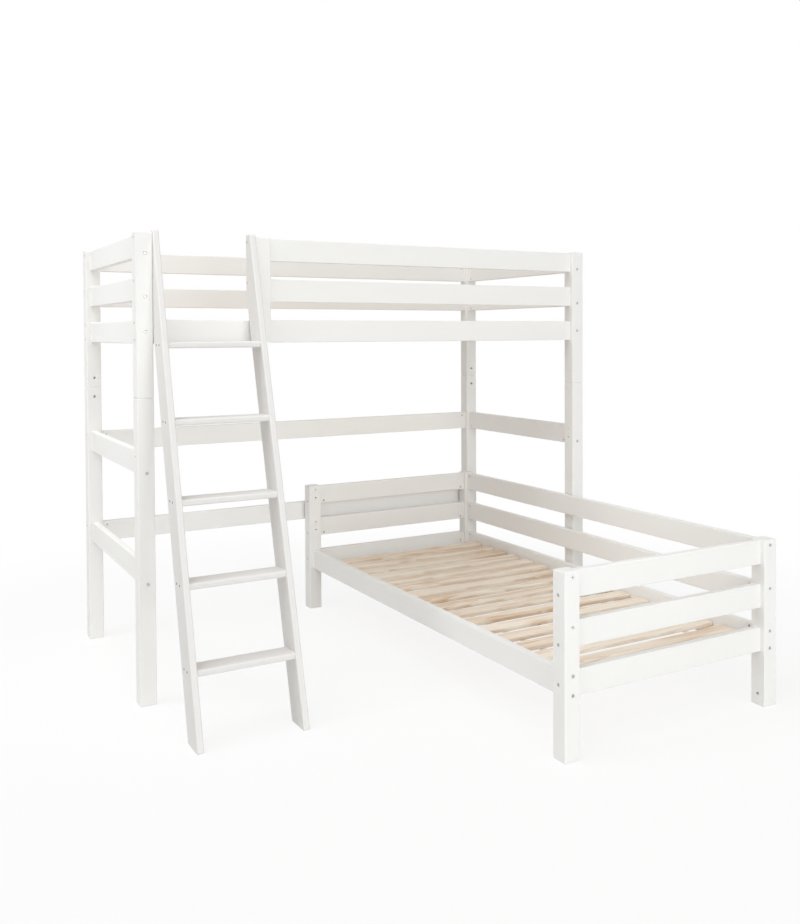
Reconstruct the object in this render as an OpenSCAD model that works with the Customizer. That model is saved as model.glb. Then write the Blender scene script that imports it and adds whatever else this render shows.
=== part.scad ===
// L-shaped bunk bed in lacquered solid pine, in millimetres, +Z up.
// Two equal bed units: one stands on tall legs as a loft, the other stands on the
// floor at right angles under its right end. A leaning ladder is bolted into the
// opening of the loft's front guard. Every rail end is held by a bolt that runs
// through the post into a barrel nut, with a wooden dowel beside it.
// The origin lies on the floor, in the middle of the footprint.

/* [Bed unit] */
// Outside length of a bed unit
unit_l = 2120; // [1700:1:2600]
// Outside width of a bed unit
unit_w = 1000; // [800:1:1250]
// Height of the posts of a bed unit
unit_h = 624; // [560:1:800]
// Height of the legs that carry the loft
leg_h = 1158; // [950:1:1450]
// Air between the low bed and the back leg of the loft that it stands against
bed_gap = 0.5; // [0.2:0.1:20]
// How far the low bed's head post stands in front of that leg
bed_lap = 10; // [8:0.5:11]

/* [Posts] */
// Side of a square post
post = 63; // [52:1:80]
// Rounding of the long edges of a post
post_r = 4; // [2:0.5:8]
// Chamfer round both ends of a post
post_ease = 3; // [1:0.5:5]

/* [Rails] */
// Height of a rail
rail_h = 90; // [74:1:110]
// Thickness of a rail
rail_t = 28; // [23:1:34]
// Set-back of a rail's outer face from the post's outer face
rail_inset = 20; // [12:1:24]
// Rounding of the long edges of a rail
rail_r = 4; // [2:0.5:8]
// Underside of the lowest rail above the foot of the unit
rail_z = 205; // [170:1:250]
// Top of the upper rail below the top of the post
rail_drop = 3; // [0:1:12]
// Underside of the low leg rails above the floor
leg_rail_low_z = 446; // [370:1:540]
// Top of the high leg rails below the top of the legs
leg_rail_drop = 204; // [120:1:260]

/* [Slatted base] */
// Number of slats in a unit
slat_n = 16; // [12:1:19]
// Width of a slat
slat_w = 70; // [56:1:86]
// Thickness of a slat
slat_t = 18; // [13:1:20]
// Rounding of the long edges of a slat
slat_r = 6; // [3:0.5:6.4]
// Distance from the end rail to the first slat
slat_margin = 96; // [40:1:130]
// Air between the end of a slat and the side rail
slat_end_gap = 8; // [4:1:16]
// Side of the square ledge that carries the slats
ledge = 30; // [25:1:36]
// Height of the ledge's underside above the underside of its rail
ledge_lift = 1; // [0:0.5:6]
// Width of the woven straps that link the slats
strap_w = 25; // [20:1:40]
// Thickness of the straps
strap_t = 1.2; // [0.8:0.1:3]
// Distance from a strap's middle to the outside of the unit
strap_inset = 200; // [160:1:260]

/* [Ladder] */
// Outside width of the ladder, which fills the opening in the front guard
ladder_w = 405; // [340:1:490]
// Lean of the ladder from the vertical, in degrees
ladder_lean = 16; // [12:0.5:24]
// Thickness of the ladder's boards
board_t = 24; // [20:1:29]
// Width of a stringer, square to its length
stringer_b = 110; // [100:1:132]
// Rounding of the long edges of a stringer
board_r = 5; // [2:0.5:8]
// Rounding of the long edges of a tread
tread_r = 8; // [3:0.5:9.5]
// Height of the stringers' tops above the top of the posts
ladder_rise = 10; // [0:1:40]
// Depth of a tread from front to back
tread_d = 90; // [75:1:92]
// Number of treads
tread_n = 5; // [4:1:6]
// Top of the lowest tread above the floor
tread_first = 255; // [210:1:310]
// Top of the highest tread above the underside of the loft's side rail
tread_last = 7; // [-40:1:12]
// Set-back of a tread's top front edge from the stringer's front edge
tread_set = 6; // [3:0.5:10]
// Depth of the housing that a tread end sits in
housing = 6; // [4:0.5:10]

/* [Fasteners] */
// Shank of the connecting bolts
bolt_d = 6; // [5:0.5:8]
// Head of the connecting bolts
head_d = 11; // [9.5:0.5:14]
// Thickness of a bolt head
head_t = 2.6; // [2:0.1:4]
// Depth of a bolt head's top below the face it is sunk in
head_below = 0.8; // [0.2:0.1:2]
// Air round a bolt head in its sinking
head_air = 1.2; // [0.4:0.1:2]
// Distance from a rail's end to the middle of its barrel nut
nut_in = 22; // [18:1:30]
// Diameter of a barrel nut
nut_d = 10; // [9:0.5:14]
// Wood left behind a barrel nut
nut_skin = 4; // [2.5:0.5:6]
// Diameter of the wooden dowels
dowel_d = 8; // [6:0.5:10]
// Length of the wooden dowels
dowel_l = 40; // [30:1:48]
// Shank of the wood screws
screw_d = 4.2; // [3.5:0.1:5]
// Length of the screws in treads and ledges
screw_l = 45; // [40:1:46]
// Shank of the studs that join the posts
stud_d = 8; // [6:0.5:10]
// Distance from the post joint to the barrel nuts on each side of it
stud_nut_z = 43; // [35:1:60]
// Diameter of the barrel nuts of the post joints
stud_nut_d = 12; // [12:0.5:16]

/* [Hidden] */
$fn = 40;
white = [0.95, 0.95, 0.94];
pine = [0.86, 0.73, 0.56];
steel = [0.62, 0.62, 0.64];
webbing = [0.85, 0.84, 0.80];
eps = 1;                             // overrun of a cut past the face it opens
fit = 0.3;                           // radial air round bolts, nuts and dowels
snug = 0.2;                          // air round a tread end in its housing

// Rail levels: the middle rail stands halfway between the other two.
top_rail_z = unit_h - rail_drop - rail_h;
rail_levels = [rail_z, (rail_z + top_rail_z) / 2, top_rail_z];
leg_high_z = leg_h - leg_rail_drop - rail_h;
rail_mid = rail_inset + rail_t / 2;  // middle of a rail's thickness, from the outside
rail_in = rail_inset + rail_t;       // inner face of a rail, from the outside
long_l = unit_l - 2 * post;          // length of a side rail
short_l = unit_w - 2 * post;         // length of an end rail

// Heights of bolts and dowels in a rail, above the rail's underside.
side_bolts = [13, rail_h - 13];      // side rail: two bolts
guard_bolt = rail_h - 17;            // guard or leg rail along the back: one bolt
guard_dowel = 33;
low_end_bolt = rail_h / 2;           // lowest end rail: one bolt at mid-height
end_bolt = 13;                       // other end rails
end_dowel = rail_h - 37;
low_end_dowel = (low_end_bolt + side_bolts[1]) / 2;
function end_bolt_h(level) = level == 0 ? low_end_bolt : end_bolt;
function end_dowel_h(level) = level == 0 ? low_end_dowel : end_dowel;
bore_d = bolt_d + 2 * fit;
nut_l = rail_t - 2 * nut_skin;
head_bore_d = head_d + 2 * head_air;
head_sink = head_t + head_below;
bolt_past = 8;                       // bolt beyond the middle of its barrel nut
bolt_l = post - head_sink + nut_in + bolt_past;
socket_af = 4;                       // hexagon socket, across the flats
socket_t = 1.6;
dowel_bore_d = dowel_d + 2 * fit;
dowel_bore_l = dowel_l / 2 + 1;

// Post joint: a stud in both posts, drawn up by two barrel nuts.
stud_l = 2 * stud_nut_z + 24;
stud_nut_l = 24;
stud_bore_d = stud_d + 2 * fit;
stud_bore_l = stud_l / 2 + 3;

// Slatted base, above the foot of the unit.
ledge_z = rail_z + ledge_lift;
slat_z = ledge_z + ledge;
slat_l = unit_w - 2 * (rail_in + slat_end_gap);
slat_x0 = rail_in + slat_margin;
slat_pitch = (unit_l - 2 * slat_x0 - slat_w) / (slat_n - 1);
ledge_l = long_l - 4;                // a ledge ends 2 mm short of each post
ledge_screw_n = 5;

// Low bed, turned so that its length runs along Y, and the footprint.
bed_x = unit_l - post + bed_lap - unit_w;
bed_head_y = unit_w - post - bed_gap;
bed_foot_y = bed_head_y - unit_l;

// Ladder. The stringer's slanted back just clears the side rail's top edge, and
// its top is cut plumb, in line with the rail's inner face.
stringer_h = stringer_b / cos(ladder_lean);
ladder_top = leg_h + unit_h + ladder_rise;
side_rail_top = leg_h + rail_z + rail_h;
ladder_clear = 1;
foot_y = rail_inset - ladder_clear - stringer_h - side_rail_top * tan(ladder_lean);
plumb_y = rail_in;
plumb_z = (plumb_y - foot_y - stringer_h) / tan(ladder_lean);
ladder_x = post;
top_front_r = 14;                    // rounding of a stringer's top, in front
top_back_r = 6;                      // and behind
foot_r = 6;                          // rounding of its foot, in front
tread_l = ladder_w - 2 * board_t + 2 * housing;
tread_top_z = leg_h + rail_z + tread_last;
tread_pitch = (tread_top_z - tread_first) / (tread_n - 1);
tread_screws = [0.4, 0.8];           // places of the screws, as shares of the tread's depth
ladder_bolts_z = [for (i = [1, 2]) leg_h + rail_levels[i] + guard_bolt];
sleeve_d = bolt_d + 3;
sleeve_l = 12;
cap_t = 2;
cap_air = 0.4;                       // how deep the cap is let in below the face
cap_bore_d = head_d + 2 * cap_air;

// Guard post beside the ladder: its foot laps over the front of the side rail.
gate_x = ladder_x + ladder_w;
gate_screw_n = 2;
gate_screw_l = rail_in - 4;          // leaves 4 mm of the tongue in front of its point
front_guard_l = unit_l - post - gate_x - post;

// ---------- places ----------

// From the loft's front left corner to the middle of the footprint.
module in_frame() {
    translate([-unit_l / 2, -(unit_w + bed_foot_y) / 2, 0]) children();
}

module as_loft() {
    in_frame() translate([0, 0, leg_h]) children();
}

// The low bed's head is at the back and its foot in front; the unit's front side
// becomes the bed's left side.
module as_bed() {
    in_frame() translate([bed_x, bed_head_y, 0]) rotate([0, 0, -90]) children();
}

// Mirror what is drawn at a unit's front left corner to another corner.
module at_corner(right, back) {
    translate([right ? unit_l : 0, back ? unit_w : 0, 0])
        mirror([right ? 1 : 0, 0, 0])
            mirror([0, back ? 1 : 0, 0]) children();
}

module at_corners() {
    for (right = [false, true], back = [false, true]) at_corner(right, back) children();
}

// Swap X and Y, for what runs across the unit.
module crosswise() {
    mirror([1, -1, 0]) children();
}

// ---------- stock ----------

module rounded_rect(w, d, r) {
    translate([r, 0]) square([w - 2 * r, d]);
    translate([0, r]) square([w, d - 2 * r]);
    for (x = [r, w - r], y = [r, d - r]) translate([x, y]) circle(r);
}

// Bar along X with rounded long edges, t thick along Y and h high along Z.
module bar(l, t, h, r) {
    rotate([90, 0, 90]) linear_extrude(l) rounded_rect(t, h, r);
}

// Outline of a post seen from the side, chamfered at both ends.
module post_outline(h) {
    c = post_ease;
    polygon([[c, 0], [post - c, 0], [post, c], [post, h - c],
             [post - c, h], [c, h], [0, h - c], [0, c]]);
}

module post_blank(h) {
    intersection() {
        linear_extrude(h) rounded_rect(post, post, post_r);
        rotate([90, 0, 90]) linear_extrude(post) post_outline(h);
        translate([0, post, 0]) rotate([90, 0, 0]) linear_extrude(post) post_outline(h);
    }
}

// ---------- joinery: cuts along X, from x = 0 inwards ----------

// Bolt bore through a post, with a sinking for the head.
module bolt_cut(z, depth = post) {
    translate([-eps, rail_mid, z]) rotate([0, 90, 0]) {
        cylinder(d = bore_d, h = depth + 2 * eps);
        cylinder(d = head_bore_d, h = head_sink + eps);
    }
}

// Dowel bore in a post's inner face.
module dowel_cut(z) {
    translate([post - dowel_bore_l, rail_mid, z]) rotate([0, 90, 0])
        cylinder(d = dowel_bore_d, h = dowel_bore_l + eps);
}

// Cuts for one rail's end in the post: one or two bolts and perhaps a dowel.
module rail_seat_cuts(bolts, dowels) {
    for (z = bolts) bolt_cut(z);
    for (z = dowels) dowel_cut(z);
}

// Stud bore in the end of a post and the cross hole for its nut, open inwards.
module stud_cuts(end_z, dir) {
    translate([post / 2, post / 2, end_z]) {
        mirror([0, 0, dir < 0 ? 1 : 0]) translate([0, 0, -eps])
            cylinder(d = stud_bore_d, h = stud_bore_l + eps);
        translate([0, -stud_nut_l / 2 - fit, dir * stud_nut_z]) rotate([-90, 0, 0])
            cylinder(d = stud_nut_d + 2 * fit, h = post / 2 + stud_nut_l / 2 + fit + eps);
    }
}

// Post of a bed unit, at the front left corner. All its bores are drilled, also
// where a side has no guard.
module unit_post() {
    color(white) difference() {
        post_blank(unit_h);
        rail_seat_cuts([for (b = side_bolts) rail_levels[0] + b], []);
        for (i = [1, 2])
            rail_seat_cuts([rail_levels[i] + guard_bolt], [rail_levels[i] + guard_dowel]);
        crosswise() for (i = [0, 1, 2])
            rail_seat_cuts([rail_levels[i] + end_bolt_h(i)], [rail_levels[i] + end_dowel_h(i)]);
        stud_cuts(0, 1);
    }
}

// Leg at the front left corner: end_z and long_z are the undersides of the rails
// that run across the unit and along it.
module leg(end_z, long_z) {
    color(white) difference() {
        post_blank(leg_h);
        for (z = long_z) rail_seat_cuts([z + guard_bolt], [z + guard_dowel]);
        crosswise() for (z = end_z) rail_seat_cuts([z + end_bolt], [z + end_dowel]);
        stud_cuts(leg_h, -1);
    }
}

// Cuts in the end of a rail at x = 0: bolt bores, barrel nut holes from the inner
// face, dowel bores.
module rail_end_cuts(bolts, dowels) {
    for (z = bolts) {
        translate([-eps, rail_t / 2, z]) rotate([0, 90, 0])
            cylinder(d = bore_d, h = nut_in + bolt_past + 2 + eps);
        translate([nut_in, rail_t / 2 - nut_l / 2 - fit, z]) rotate([-90, 0, 0])
            cylinder(d = nut_d + 2 * fit, h = rail_t / 2 + nut_l / 2 + fit + eps);
    }
    for (z = dowels) translate([-eps, rail_t / 2, z]) rotate([0, 90, 0])
        cylinder(d = dowel_bore_d, h = dowel_bore_l + eps);
}

// Rail along X. Its outer face is y = 0 and its inner face y = rail_t.
module rail(l, bolts, dowels) {
    color(white) difference() {
        bar(l, rail_t, rail_h, rail_r);
        rail_end_cuts(bolts, dowels);
        translate([l, 0, 0]) mirror([1, 0, 0]) rail_end_cuts(bolts, dowels);
    }
}

// ---------- parts of a bed unit ----------

module side_rail(screws_for_gate = false) {
    translate([post, rail_inset, rail_levels[0]]) difference() {
        rail(long_l, side_bolts, []);
        ledge_screw_places() translate([0, rail_in - rail_inset, 0]) screw_cut(screw_l);
        if (screws_for_gate) gate_screw_places() screw_cut(gate_screw_l);
    }
}

module guard(level) {
    translate([post, rail_inset, rail_levels[level]])
        rail(long_l, [guard_bolt], [guard_dowel]);
}

module end_rail(level) {
    crosswise() translate([post, rail_inset, rail_levels[level]])
        rail(short_l, [end_bolt_h(level)], [end_dowel_h(level)]);
}

// Places of the screws in the front ledge, measured from the side rail's corner,
// on the rail's inner face.
module ledge_screw_places() {
    step = ledge_l / ledge_screw_n;
    for (i = [0 : ledge_screw_n - 1])
        translate([2 + step * (i + 0.5), ledge, ledge_lift + ledge / 2]) children();
}

module front_ledge() {
    color(pine) translate([post + 2, rail_in, ledge_z]) difference() {
        bar(ledge_l, ledge, ledge, 2);
        translate([-2, 0, -ledge_lift]) ledge_screw_places() screw_cut(screw_l);
    }
}

module ledges() {
    for (back = [false, true]) at_corner(false, back) front_ledge();
}

module slats() {
    color(pine) for (i = [0 : slat_n - 1])
        translate([slat_x0 + i * slat_pitch, rail_in + slat_end_gap, slat_z])
            crosswise() bar(slat_l, slat_w, slat_t, slat_r);
}

module straps() {
    color(webbing) for (back = [false, true]) at_corner(false, back)
        translate([slat_x0, strap_inset - strap_w / 2, slat_z - strap_t])
            cube([unit_l - 2 * slat_x0, strap_w, strap_t]);
}

// ---------- ladder ----------

// Outline of a stringer seen from the side: square on the floor, leaning up to the
// plumb cut that stands behind the guards, and rounded over at the top.
module stringer_side() {
    front = 180 - ladder_lean;       // the way the front edge faces
    polygon(concat(
        [[foot_y + stringer_h, 0], [plumb_y, plumb_z]],
        arc([plumb_y - top_back_r, ladder_top - top_back_r], top_back_r, 0, 90),
        arc([front_y(ladder_top - top_front_r, top_front_r), ladder_top - top_front_r],
            top_front_r, 90, front),
        arc([front_y(foot_r, foot_r), foot_r], foot_r, front, 270)));
}

// Place of a point at height z that lies d behind a stringer's front edge.
function front_y(z, d) = foot_y + z * tan(ladder_lean) + d / cos(ladder_lean);
function arc(c, r, a, b) = [for (i = [0 : 6])
    c + r * [cos(a + (b - a) * i / 6), sin(a + (b - a) * i / 6)]];

// Stringer on the left: its outer face is x = 0 and the treads are housed in the
// other face.
module stringer() {
    color(white) difference() {
        intersection() {
            rotate([90, 0, 90]) linear_extrude(board_t) stringer_side();
            translate([0, foot_y, 0]) rotate([-ladder_lean, 0, 0])
                translate([0, 0, -stringer_b])
                    linear_extrude(ladder_top / cos(ladder_lean) + 2 * stringer_b)
                        rounded_rect(board_t, stringer_b, board_r);
            translate([0, foot_y - stringer_h, 0]) linear_extrude(ladder_top)
                rounded_rect(board_t, plumb_y - foot_y + stringer_h, board_r);
            translate([0, plumb_y, -board_r]) rotate([90, 0, 0])
                linear_extrude(plumb_y - foot_y)
                    rounded_rect(board_t, ladder_top + board_r, board_r);
        }
        for (i = [0 : tread_n - 1]) tread_housing(i);
        tread_screw_places() mirror([1, 0, 0]) rotate([0, 0, -90]) screw_cut(screw_l);
    }
}

function tread_z(i) = tread_first + i * tread_pitch;
function tread_y(i) = front_y(tread_z(i), 0) + tread_set;

module tread_housing(i) {
    translate([board_t - housing - snug, tread_y(i) - snug, tread_z(i) - board_t - snug])
        bar(housing + snug + eps, tread_d + 2 * snug, board_t + 2 * snug, tread_r + snug);
}

// Tread i counts from the floor.
module tread(i) {
    color(white) in_frame() difference() {
        translate([ladder_x + board_t - housing, tread_y(i), tread_z(i) - board_t])
            bar(tread_l, tread_d, board_t, tread_r);
        at_stringers() tread_screw_places(i)
            mirror([1, 0, 0]) rotate([0, 0, -90]) screw_cut(screw_l);
    }
}

// Both stringers' places; what is drawn for the left one is mirrored for the right.
module at_stringers() {
    translate([ladder_x, 0, 0]) children();
    translate([ladder_x + ladder_w, 0, 0]) mirror([1, 0, 0]) children();
}

// Screws that hold the treads, on a stringer's outer face. All treads, or only one.
module tread_screw_places(only = -1) {
    for (i = [0 : tread_n - 1]) if (only < 0 || only == i)
        for (share = tread_screws)
            translate([0, tread_y(i) + share * tread_d, tread_z(i) - board_t / 2]) children();
}

module stringer_left() {
    in_frame() difference() {
        translate([ladder_x, 0, 0]) stringer();
        for (z = ladder_bolts_z) {
            translate([ladder_x - eps, rail_mid, z]) rotate([0, 90, 0])
                cylinder(d = bore_d, h = board_t + 2 * eps);
            sleeve_nut_place(z) mirror([1, 0, 0]) translate([-eps, 0, 0]) rotate([0, 90, 0]) {
                cylinder(d = cap_bore_d, h = cap_t + cap_air + eps);
                cylinder(d = sleeve_d + 2 * fit, h = cap_t + sleeve_l + 1 + eps);
            }
        }
    }
}

// A sleeve nut sits in the left stringer's inner face.
module sleeve_nut_place(z) {
    translate([ladder_x + board_t, rail_mid, z]) children();
}

module stringer_right() {
    in_frame() difference() {
        translate([gate_x, 0, 0]) mirror([1, 0, 0]) stringer();
        translate([gate_x - board_t, 0, 0])
            for (z = ladder_bolts_z) bolt_cut(z, board_t);
    }
}

// Guard post: full section above the side rail, and a tongue in front of the rail.
module gate_post() {
    color(white) in_frame() difference() {
        translate([gate_x, 0, side_rail_top - rail_h]) intersection() {
            linear_extrude(leg_h + unit_h - side_rail_top + rail_h)
                rounded_rect(post, rail_in, post_r);
            translate([0, -eps, 0]) rotate([90, 0, 90]) linear_extrude(post)
                gate_post_side(leg_h + unit_h - side_rail_top + rail_h);
        }
        for (z = ladder_bolts_z) {
            translate([gate_x - eps, rail_mid, z]) rotate([0, 90, 0])
                cylinder(d = bore_d, h = post + 2 * eps);
            translate([gate_x, 0, z - guard_bolt + guard_dowel]) dowel_cut(0);
        }
        translate([post, rail_inset, leg_h + rail_z]) gate_screw_places() screw_cut(gate_screw_l);
    }
}

// Side outline of the guard post: h high, with its foot thinned to a tongue.
module gate_post_side(h) {
    polygon([[0, 0], [rail_inset + eps, 0], [rail_inset + eps, rail_h],
             [rail_in + 2 * eps, rail_h], [rail_in + 2 * eps, h - post_ease],
             [rail_in + eps - post_ease, h], [post_ease + eps, h],
             [0, h - post_ease - eps]]);
}

// Screws from the side rail's inner face into the tongue, measured from the rail's
// corner.
module gate_screw_places() {
    for (i = [0 : gate_screw_n - 1])
        translate([gate_x - post + post * (i + 0.5) / gate_screw_n, rail_t,
                   (rail_h + ledge_lift + ledge) / 2]) children();
}

module front_guard(level) {
    as_loft() translate([gate_x + post, rail_inset, rail_levels[level]])
        rail(front_guard_l, [guard_bolt], [guard_dowel]);
}

// ---------- fasteners ----------

// Bolt along X, l long below its head, which is sunk below the face x = 0.
module bolt(l) {
    translate([head_below, 0, 0]) rotate([0, 90, 0]) difference() {
        rotate_extrude() polygon([[0, 0], [head_d / 2 - 1, 0], [head_d / 2, 1],
                                  [head_d / 2, head_t], [bolt_d / 2, head_t],
                                  [bolt_d / 2, head_t + l - 1], [bolt_d / 2 - 1, head_t + l],
                                  [0, head_t + l]]);
        translate([0, 0, -eps])
            cylinder(d = socket_af / cos(30), h = socket_t + eps, $fn = 6);
    }
}

// Barrel nut along Y, centred, with a tapped hole along X and a slot in its end.
module barrel_nut(d, l, hole) {
    difference() {
        translate([0, -l / 2, 0]) rotate([-90, 0, 0]) cylinder(d = d, h = l);
        translate([-d, 0, 0]) rotate([0, 90, 0]) cylinder(d = hole, h = 2 * d);
        translate([-d, l / 2 - 1.5, -0.75]) cube([2 * d, 1.5 + eps, 1.5]);
    }
}

// Screw along -Y with its head's top at y = 0.
module screw(l) {
    head = 2.1 * screw_d;
    rotate([90, 0, 0]) difference() {
        rotate_extrude() polygon([[0, 0], [head / 2, 0], [screw_d / 2, screw_d / 2],
                                  [screw_d / 2, l - 4], [0.4, l], [0, l]]);
        for (turn = [0, 90]) rotate([0, 0, turn])
            translate([-head / 4, -0.4, -eps]) cube([head / 2, 0.8, 1 + eps]);
    }
}

// Pilot bore and countersink for a screw along -Y.
module screw_cut(l) {
    head = 2.1 * screw_d + 0.8;
    rotate([90, 0, 0]) {
        translate([0, 0, -eps]) cylinder(d = screw_d + fit, h = l + 1 + eps);
        translate([0, 0, -eps]) cylinder(d = head, h = eps + 0.2);
        translate([0, 0, 0.2])
            cylinder(d1 = head, d2 = screw_d + fit, h = (head - screw_d) / 2);
    }
}

// Bolts of the rails along X at the front left corner, at these heights.
module corner_bolts(heights) {
    for (z = heights) translate([0, rail_mid, z]) bolt(bolt_l);
}

module rail_nut() {
    barrel_nut(nut_d, nut_l, bolt_d + fit);
}

module corner_nuts(heights) {
    for (z = heights) translate([post + nut_in, rail_mid, z]) rail_nut();
}

module corner_dowels(heights) {
    for (z = heights) translate([post - dowel_l / 2, rail_mid, z]) rotate([0, 90, 0])
        cylinder(d = dowel_d, h = dowel_l);
}

function side_z() = [for (b = side_bolts) rail_levels[0] + b];
function guards_z(above) = [for (i = [1, 2]) rail_levels[i] + above];
function ends_z() = [for (i = [0, 1, 2]) rail_levels[i] + end_bolt_h(i)];
function end_dowels_z() = [for (i = [0, 1, 2]) rail_levels[i] + end_dowel_h(i)];

// What holds a unit's rails. kind is "bolt", "nut" or "dowel"; front_guards says at
// which ends the front side has a guard.
module unit_fasteners(kind, front_guards) {
    for (right = [false, true], back = [false, true]) at_corner(right, back) {
        guarded = back || (right && front_guards);
        long_bolts = concat(side_z(), guarded ? guards_z(guard_bolt) : []);
        fasteners(kind, long_bolts, guarded ? guards_z(guard_dowel) : []);
        crosswise() fasteners(kind, ends_z(), end_dowels_z());
    }
}

module leg_fasteners(kind) {
    for (z = [leg_rail_low_z, leg_high_z], right = [false, true]) {
        at_corner(right, true) fasteners(kind, [z + guard_bolt], [z + guard_dowel]);
        if (!right || z == leg_high_z) for (back = [false, true])
            at_corner(right, back) crosswise()
                fasteners(kind, [z + end_bolt], [z + end_dowel]);
    }
}

module fasteners(kind, bolts, dowels) {
    if (kind == "bolt") corner_bolts(bolts);
    if (kind == "nut") corner_nuts(bolts);
    if (kind == "dowel") corner_dowels(dowels);
}

module all_fasteners(kind) {
    as_loft() unit_fasteners(kind, true);
    in_frame() leg_fasteners(kind);
    as_bed() unit_fasteners(kind, false);
}

module rail_bolts() {
    color(steel) all_fasteners("bolt");
}

module barrel_nuts() {
    color(steel) {
        all_fasteners("nut");
        in_frame() for (z = ladder_bolts_z)
            translate([gate_x + post + nut_in, rail_mid, z]) rail_nut();
        in_frame() at_corners() for (dir = [-1, 1])
            translate([post / 2, post / 2, leg_h + dir * stud_nut_z])
                rotate([0, 90, 0]) barrel_nut(stud_nut_d, stud_nut_l, stud_d + fit);
    }
}

module locating_dowels() {
    color(pine) {
        all_fasteners("dowel");
        in_frame() for (z = ladder_bolts_z)
            translate([gate_x, 0, z - guard_bolt + guard_dowel]) corner_dowels([0]);
    }
}

module post_joint_studs() {
    color(steel) in_frame() at_corners()
        translate([post / 2, post / 2, leg_h - stud_l / 2]) cylinder(d = stud_d, h = stud_l);
}

module ladder_bolts() {
    color(steel) in_frame() for (z = ladder_bolts_z) {
        translate([0, rail_mid, z]) bolt(post - head_sink + board_t - cap_t - 1);
        translate([gate_x - board_t, rail_mid, z])
            bolt(board_t - head_sink + post + nut_in + bolt_past);
    }
}

module ladder_sleeve_nuts() {
    color(steel) in_frame() for (z = ladder_bolts_z) sleeve_nut_place(z)
        rotate([0, -90, 0]) difference() {
            translate([0, 0, cap_air]) union() {
                cylinder(d = head_d, h = cap_t);
                cylinder(d = sleeve_d, h = cap_t + sleeve_l);
            }
            translate([0, 0, cap_t]) cylinder(d = bolt_d + fit, h = sleeve_l + 2);
        }
}

module wood_screws() {
    color(steel) {
        in_frame() at_stringers() tread_screw_places()
            mirror([1, 0, 0]) rotate([0, 0, -90]) screw(screw_l);
        in_frame() translate([post, rail_inset, leg_h + rail_z])
            gate_screw_places() screw(gate_screw_l);
        as_loft() unit_ledge_screws();
        as_bed() unit_ledge_screws();
    }
}

module unit_ledge_screws() {
    for (back = [false, true]) at_corner(false, back)
        translate([post, rail_in, rail_z]) ledge_screw_places() screw(screw_l);
}

module slat_straps() {
    as_loft() straps();
    as_bed() straps();
}

// ---------- assembly ----------

module loft_corner(right, back) {
    as_loft() at_corner(right, back) unit_post();
}

module loft_end(right, level) {
    as_loft() at_corner(right, false) end_rail(level);
}

// Legs: the left end has two rails, the right end only the high one, and the back
// has two. The front legs keep the bore for a high rail that isn't fitted.
module leg_corner(right, back) {
    end_z = right ? [leg_high_z] : [leg_rail_low_z, leg_high_z];
    long_z = back ? [leg_rail_low_z, leg_high_z] : [leg_high_z];
    in_frame() at_corner(right, back) leg(end_z, long_z);
}

module leg_end_rail(right, z) {
    in_frame() at_corner(right, false) crosswise() translate([post, rail_inset, z])
        rail(short_l, [end_bolt], [end_dowel]);
}

module leg_back_rail(z) {
    in_frame() at_corner(false, true) translate([post, rail_inset, z])
        rail(long_l, [guard_bolt], [guard_dowel]);
}

module bed_corner(foot, right) {
    as_bed() at_corner(foot, right) unit_post();
}

module bed_end(foot, level) {
    as_bed() at_corner(foot, false) end_rail(level);
}

loft_corner(false, false);  // loft_post_front_left
loft_corner(true, false);  // loft_post_front_right
loft_corner(false, true);  // loft_post_back_left
loft_corner(true, true);  // loft_post_back_right
loft_end(false, 0);  // loft_left_rail_low
loft_end(false, 1);  // loft_left_rail_mid
loft_end(false, 2);  // loft_left_rail_top
loft_end(true, 0);  // loft_right_rail_low
loft_end(true, 1);  // loft_right_rail_mid
loft_end(true, 2);  // loft_right_rail_top
as_loft() side_rail(true);  // loft_side_rail_front
as_loft() at_corner(false, true) side_rail();  // loft_side_rail_back
as_loft() at_corner(false, true) guard(1);  // loft_guard_back_mid
as_loft() at_corner(false, true) guard(2);  // loft_guard_back_top
front_guard(1);  // loft_guard_front_mid
front_guard(2);  // loft_guard_front_top
gate_post();  // ladder_guard_post
as_loft() ledges();  // loft_ledges
as_loft() slats();  // loft_slats
leg_corner(false, false);  // leg_front_left
leg_corner(true, false);  // leg_front_right
leg_corner(false, true);  // leg_back_left
leg_corner(true, true);  // leg_back_right
leg_end_rail(false, leg_rail_low_z);  // leg_left_rail_low
leg_end_rail(false, leg_high_z);  // leg_left_rail_high
leg_end_rail(true, leg_high_z);  // leg_right_rail_high
leg_back_rail(leg_rail_low_z);  // leg_back_rail_low
leg_back_rail(leg_high_z);  // leg_back_rail_high
stringer_left();  // ladder_stringer_left
stringer_right();  // ladder_stringer_right
tread(0);  // ladder_tread_1
tread(1);  // ladder_tread_2
tread(2);  // ladder_tread_3
tread(3);  // ladder_tread_4
tread(4);  // ladder_tread_5
ladder_bolts();
ladder_sleeve_nuts();
bed_corner(false, false);  // bed_post_head_left
bed_corner(false, true);  // bed_post_head_right
bed_corner(true, false);  // bed_post_foot_left
bed_corner(true, true);  // bed_post_foot_right
bed_end(false, 0);  // bed_head_rail_low
bed_end(false, 1);  // bed_head_rail_mid
bed_end(false, 2);  // bed_head_rail_top
bed_end(true, 0);  // bed_foot_rail_low
bed_end(true, 1);  // bed_foot_rail_mid
bed_end(true, 2);  // bed_foot_rail_top
as_bed() side_rail();  // bed_side_rail_left
as_bed() at_corner(false, true) side_rail();  // bed_side_rail_right
as_bed() at_corner(false, true) guard(1);  // bed_guard_mid
as_bed() at_corner(false, true) guard(2);  // bed_guard_top
as_bed() ledges();  // bed_ledges
as_bed() slats();  // bed_slats
slat_straps();
rail_bolts();
barrel_nuts();
locating_dowels();
post_joint_studs();
wood_screws();
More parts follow.
